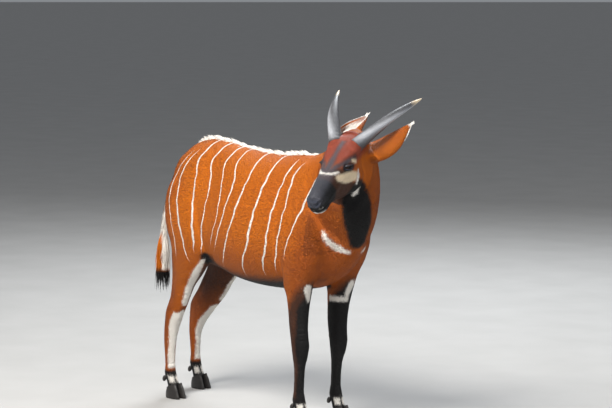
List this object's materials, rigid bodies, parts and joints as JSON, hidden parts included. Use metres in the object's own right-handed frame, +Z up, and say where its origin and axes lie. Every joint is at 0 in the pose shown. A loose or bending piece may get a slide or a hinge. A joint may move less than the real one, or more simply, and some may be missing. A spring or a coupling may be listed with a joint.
{
  "type": "bongo antelope, life-size still model of a young bull",
  "caption": "Life-size young bongo bull, standing still with its head turned to its right, horns swept back and tail hanging.",
  "frame": {"origin": "under the middle of the bounding box, at the level of the soles", "axes": "+X towards the chest along the spine, +Y to the animal's left, +Z up"},
  "size_m": [1.454, 0.5978, 1.3749],
  "materials": {
    "coat": "short glossy fur, rufous with white stripes, dark throat, belly and legs",
    "horn": "smooth keratin, satin, grey with pale tips",
    "hoof": "black keratin, satin",
    "eye": "wet, very dark brown"
  },
  "bodies": {
    "root": {"claw_fore_left_a": "hoof", "claw_fore_left_b": "hoof", "claw_fore_right_a": "hoof", "claw_fore_right_b": "hoof", "claw_hind_left_a": "hoof", "claw_hind_left_b": "hoof", "claw_hind_right_a": "hoof", "claw_hind_right_b": "hoof", "dewclaw_fore_left_a": "hoof", "dewclaw_fore_left_b": "hoof", "dewclaw_fore_right_a": "hoof", "dewclaw_fore_right_b": "hoof", "dewclaw_hind_left_a": "hoof", "dewclaw_hind_left_b": "hoof", "dewclaw_hind_right_a": "hoof", "dewclaw_hind_right_b": "hoof", "ear_left": "coat", "ear_right": "coat", "eye_left": "eye", "eye_right": "eye", "head": "coat", "horn_left": "horn", "horn_right": "horn", "leg_fore_left": "coat", "leg_fore_right": "coat", "leg_hind_left": "coat", "leg_hind_right": "coat", "neck": "coat", "tail": "coat", "torso": "coat"}
  },
  "joints": []
}
